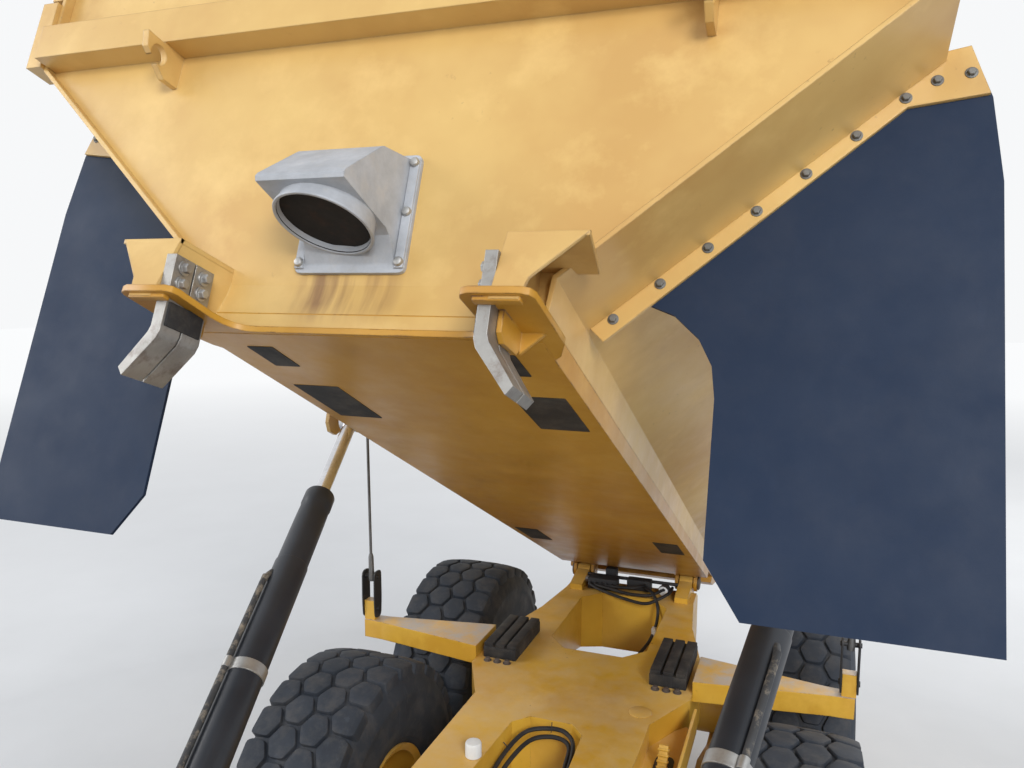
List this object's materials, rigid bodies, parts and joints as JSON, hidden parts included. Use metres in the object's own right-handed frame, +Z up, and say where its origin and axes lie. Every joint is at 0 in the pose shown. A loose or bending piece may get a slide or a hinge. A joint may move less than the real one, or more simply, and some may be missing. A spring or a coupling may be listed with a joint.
{
  "type": "articulated dump truck",
  "caption": "Articulated dump truck with a steering and twisting hitch, a bogie under the rear frame, a tipping body on leaning hoist cylinders and a tailgate that opens as it tips.",
  "frame": {"origin": "middle of the bounding box on the ground, as the truck stands with its body raised", "axes": "+X towards the truck's left, the truck faces -Y, +Z up"},
  "size_m": [3.152, 11.1547, 5.1092],
  "materials": {
    "paint": "warm yellow paint, scuffed and dusty",
    "ochre_paint": "deep ochre paint, dusty, in the shade of the body",
    "black_metal": "near-black satin paint",
    "bare_steel": "bare grey steel, worn brown at the rubbing faces",
    "casting": "weathered light grey casting with rust streaks",
    "chrome": "hard chromed rod",
    "rubber": "dull dark blue-grey rubber",
    "tyre": "charcoal tyre rubber, worn and dusty",
    "black_plastic": "grained black plastic",
    "glass": "clear tinted glass"
  },
  "bodies": {
    "rear_frame": {"rear_frame": "paint", "cable_arms": "paint", "rest_pads": "rubber", "bogie_beams": "ochre_paint", "bogie_axles": "ochre_paint", "drive_shafts": "bare_steel", "exhaust_stack": "casting", "rear_lamps": "black_plastic"},
    "hitch": {"hitch": "ochre_paint"},
    "front_frame": {"front_frame": "paint", "engine": "casting", "front_axle": "ochre_paint", "fenders": "black_plastic", "access_steps": "black_metal", "bumper": "paint", "cab_shell": "paint", "cab_glass": "glass", "cab_interior": "black_plastic", "mirrors": "black_plastic"},
    "hood": {"hood": "paint", "grille": "black_metal"},
    "door": {"door": "paint", "door_glass": "glass"},
    "bed": {"bed_floor": "ochre_paint", "bed_sides": "paint", "bed_front_wall": "paint", "exhaust_inlet": "casting", "bed_guides": "bare_steel", "flap_strips": "paint", "flaps": "rubber", "cable_sheaves": "bare_steel"},
    "tailgate": {"tailgate": "paint"},
    "hoist_barrel_left": {"hoist_barrel_left": "black_metal"},
    "hoist_rod_left": {"hoist_rod_left": "chrome"},
    "steer_barrel_left": {"steer_barrel_left": "black_metal"},
    "steer_rod_left": {"steer_rod_left": "chrome"},
    "hoist_barrel_right": {"hoist_barrel_right": "black_metal"},
    "hoist_rod_right": {"hoist_rod_right": "chrome"},
    "steer_barrel_right": {"steer_barrel_right": "black_metal"},
    "steer_rod_right": {"steer_rod_right": "chrome"},
    "wheel_fl": {"tyre_fl": "tyre", "rim_fl": "paint"},
    "wheel_fr": {"tyre_fr": "tyre", "rim_fr": "paint"},
    "wheel_ml": {"tyre_ml": "tyre", "rim_ml": "paint"},
    "wheel_mr": {"tyre_mr": "tyre", "rim_mr": "paint"},
    "wheel_rl": {"tyre_rl": "tyre", "rim_rl": "paint"},
    "wheel_rr": {"tyre_rr": "tyre", "rim_rr": "paint"}
  },
  "joints": [
    {"name": "oscillation", "type": "hinge", "parent": "rear_frame", "child": "hitch", "pos_m": [0, -1.278, 1.08], "axis": [0, 1, 0], "range_deg": [-15, 15]},
    {"name": "steering", "type": "hinge", "parent": "hitch", "child": "front_frame", "pos_m": [0, -1.538, 1.08], "axis": [0, 0, 1], "range_deg": [-45, 45]},
    {"name": "bed_tip", "type": "hinge", "parent": "rear_frame", "child": "bed", "pos_m": [0, 3.462, 1.571], "axis": [1, 0, 0], "range_deg": [-33.2, 26.8]},
    {"name": "tailgate_swing", "type": "hinge", "parent": "bed", "child": "tailgate", "pos_m": [0, 3.18981, 3.13917], "axis": [1, 0, 0], "range_deg": [-25, 31]},
    {"name": "hood_tilt", "type": "hinge", "parent": "front_frame", "child": "hood", "pos_m": [0, -5.218, 1.3], "axis": [1, 0, 0], "range_deg": [0, 65]},
    {"name": "door_swing", "type": "hinge", "parent": "front_frame", "child": "door", "pos_m": [0.77, -2.514, 2.4], "axis": [0, 0, 1], "range_deg": [0, 80]},
    {"name": "hoist_foot_left", "type": "hinge", "parent": "rear_frame", "child": "hoist_barrel_left", "pos_m": [0.616, -1.138, 1.171], "axis": [0.9064, -0.2447, 0.3444], "range_deg": [-8.6, 10.63]},
    {"name": "hoist_slide_left", "type": "slide", "parent": "hoist_barrel_left", "child": "hoist_rod_left", "axis": [0.1832, 0.8342, 0.5201], "range_m": [-0.912, 1.13]},
    {"name": "steer_foot_left", "type": "hinge", "parent": "front_frame", "child": "steer_barrel_left", "pos_m": [0.47, -2.738, 1.08], "axis": [0, 0, 1], "range_deg": [-0.46, 0.46]},
    {"name": "steer_slide_left", "type": "slide", "parent": "steer_barrel_left", "child": "steer_rod_left", "axis": [-0.1034, 0.9946, 0], "range_m": [-0.2435, 0.2435]},
    {"name": "hoist_foot_right", "type": "hinge", "parent": "rear_frame", "child": "hoist_barrel_right", "pos_m": [-0.616, -1.138, 1.171], "axis": [0.9064, 0.2447, -0.3444], "range_deg": [-8.6, 10.63]},
    {"name": "hoist_slide_right", "type": "slide", "parent": "hoist_barrel_right", "child": "hoist_rod_right", "axis": [-0.1832, 0.8342, 0.5201], "range_m": [-0.912, 1.13]},
    {"name": "steer_foot_right", "type": "hinge", "parent": "front_frame", "child": "steer_barrel_right", "pos_m": [-0.47, -2.738, 1.08], "axis": [0, 0, 1], "range_deg": [-0.46, 0.46]},
    {"name": "steer_slide_right", "type": "slide", "parent": "steer_barrel_right", "child": "steer_rod_right", "axis": [0.1034, 0.9946, 0], "range_m": [-0.2435, 0.2435]},
    {"name": "wheel_spin_fl", "type": "hinge", "parent": "front_frame", "child": "wheel_fl", "pos_m": [1.154, -2.738, 0.803], "axis": [1, 0, 0], "continuous": true},
    {"name": "wheel_spin_fr", "type": "hinge", "parent": "front_frame", "child": "wheel_fr", "pos_m": [-1.154, -2.738, 0.803], "axis": [1, 0, 0], "continuous": true},
    {"name": "wheel_spin_ml", "type": "hinge", "parent": "rear_frame", "child": "wheel_ml", "pos_m": [1.154, 1.44, 0.803], "axis": [1, 0, 0], "continuous": true},
    {"name": "wheel_spin_mr", "type": "hinge", "parent": "rear_frame", "child": "wheel_mr", "pos_m": [-1.154, 1.44, 0.803], "axis": [1, 0, 0], "continuous": true},
    {"name": "wheel_spin_rl", "type": "hinge", "parent": "rear_frame", "child": "wheel_rl", "pos_m": [1.154, 3.119, 0.803], "axis": [1, 0, 0], "continuous": true},
    {"name": "wheel_spin_rr", "type": "hinge", "parent": "rear_frame", "child": "wheel_rr", "pos_m": [-1.154, 3.119, 0.803], "axis": [1, 0, 0], "continuous": true}
  ],
  "couplings": [
    {"joint": "tailgate_swing", "follows": "bed_tip", "ratio": -0.93284},
    {"joint": "hoist_foot_left", "follows": "bed_tip", "ratio": -0.32},
    {"joint": "hoist_slide_left", "follows": "bed_tip", "m_per_rad": -1.9481},
    {"joint": "steer_foot_left", "follows": "steering", "ratio": -0.01},
    {"joint": "steer_slide_left", "follows": "steering", "m_per_rad": -0.3094},
    {"joint": "hoist_foot_right", "follows": "bed_tip", "ratio": -0.32},
    {"joint": "hoist_slide_right", "follows": "bed_tip", "m_per_rad": -1.9481},
    {"joint": "steer_foot_right", "follows": "steering", "ratio": -0.01},
    {"joint": "steer_slide_right", "follows": "steering", "m_per_rad": 0.3094}
  ]
}
